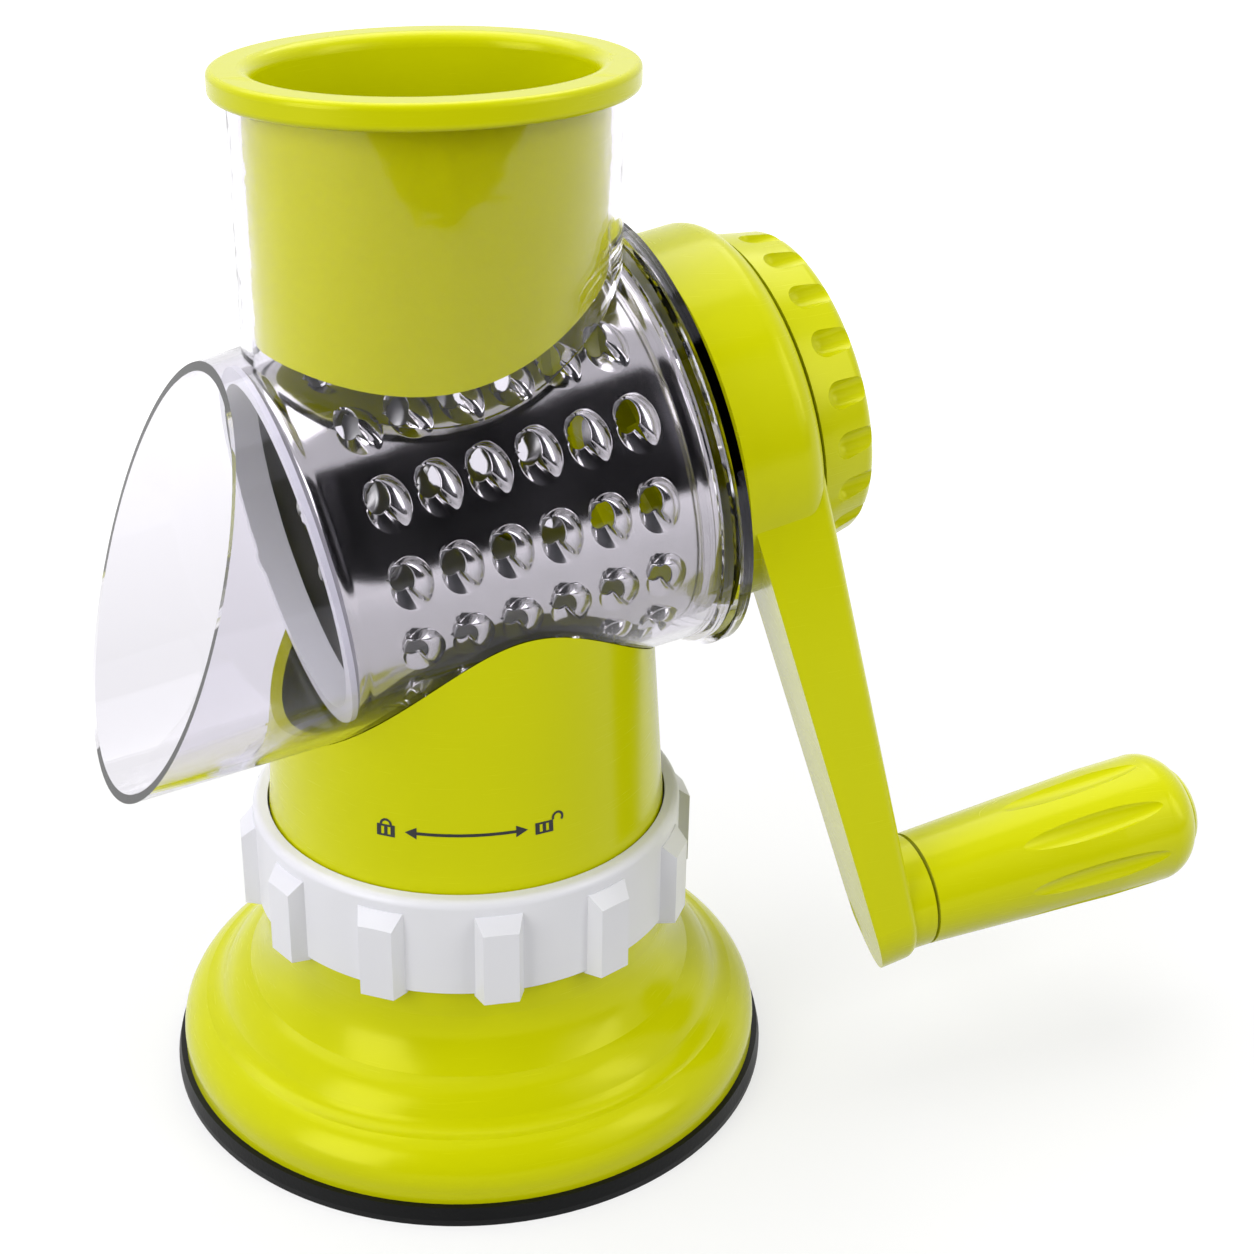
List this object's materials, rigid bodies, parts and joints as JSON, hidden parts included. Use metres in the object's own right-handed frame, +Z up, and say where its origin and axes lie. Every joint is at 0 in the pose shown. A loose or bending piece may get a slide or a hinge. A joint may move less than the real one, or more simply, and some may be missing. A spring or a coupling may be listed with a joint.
{
  "type": "rotary cheese grater",
  "caption": "Hand-cranked rotary cheese grater on a suction base, with a punched steel drum in a clear housing and an oval food pusher.",
  "frame": {"origin": "centre of the suction cup's flat underside, on the surface that the grater stands on", "axes": "+Z up through the column, +X towards the crank, -Y towards the user in front; the drum's axis lies in the XZ plane and rises towards +X"},
  "size_m": [0.2277, 0.128, 0.2126],
  "materials": {
    "lime_abs": "glossy moulded",
    "white_abs": "glossy moulded",
    "clear_san": "clear moulded",
    "black_rubber": "satin",
    "stainless_steel": "bright rolled",
    "zinc_plated_steel": "zinc plated",
    "white_acetal": "natural",
    "brass": "turned"
  },
  "bodies": {
    "base": {"base_shell": "lime_abs", "suction_cup": "black_rubber", "column": "lime_abs", "column_screws": "zinc_plated_steel", "housing": "clear_san", "housing_screws": "zinc_plated_steel", "end_plate": "clear_san", "bearing_bush": "white_acetal"},
    "lock_ring": {"lock_ring": "white_abs"},
    "lifter": {"lifter": "white_acetal", "lifter_screw": "zinc_plated_steel", "cup_stud": "zinc_plated_steel"},
    "crank": {"crank_arm": "lime_abs", "drive_shaft": "stainless_steel", "drum_hub": "lime_abs", "drum_sleeve": "stainless_steel", "drum_end_ring": "white_abs", "thrust_washer": "white_acetal", "grip_pin": "zinc_plated_steel", "grip_washer": "white_acetal"},
    "clamp_knob": {"clamp_knob": "lime_abs", "knob_nut": "brass"},
    "grip": {"grip": "lime_abs", "grip_cap": "lime_abs"},
    "pusher": {"pusher": "lime_abs"}
  },
  "joints": [
    {"name": "lock_turn", "type": "hinge", "parent": "base", "child": "lock_ring", "pos_m": [0, 0, 0.05], "axis": [0, 0, 1], "range_deg": [-75, 0]},
    {"name": "cup_lift", "type": "slide", "parent": "base", "child": "lifter", "axis": [0, 0, 1], "range_m": [0, 0.00375]},
    {"name": "crank_turn", "type": "hinge", "parent": "base", "child": "crank", "pos_m": [0, 0, 0.1295], "axis": [0.9854, 0, 0.1702], "continuous": true},
    {"name": "knob_turn", "type": "hinge", "parent": "crank", "child": "clamp_knob", "pos_m": [0, 0, 0.1295], "axis": [0.9854, 0, 0.1702], "range_deg": [0, 1800]},
    {"name": "grip_spin", "type": "hinge", "parent": "crank", "child": "grip", "pos_m": [0.08591, -0.03996, 0.0387], "axis": [0.9955, -0.0312, 0.0894], "continuous": true},
    {"name": "pusher_lift", "type": "slide", "parent": "base", "child": "pusher", "axis": [0, 0, 1], "range_m": [0, 0.055]}
  ],
  "couplings": [
    {"joint": "cup_lift", "follows": "lock_turn", "m_per_rad": -0.0028647}
  ]
}
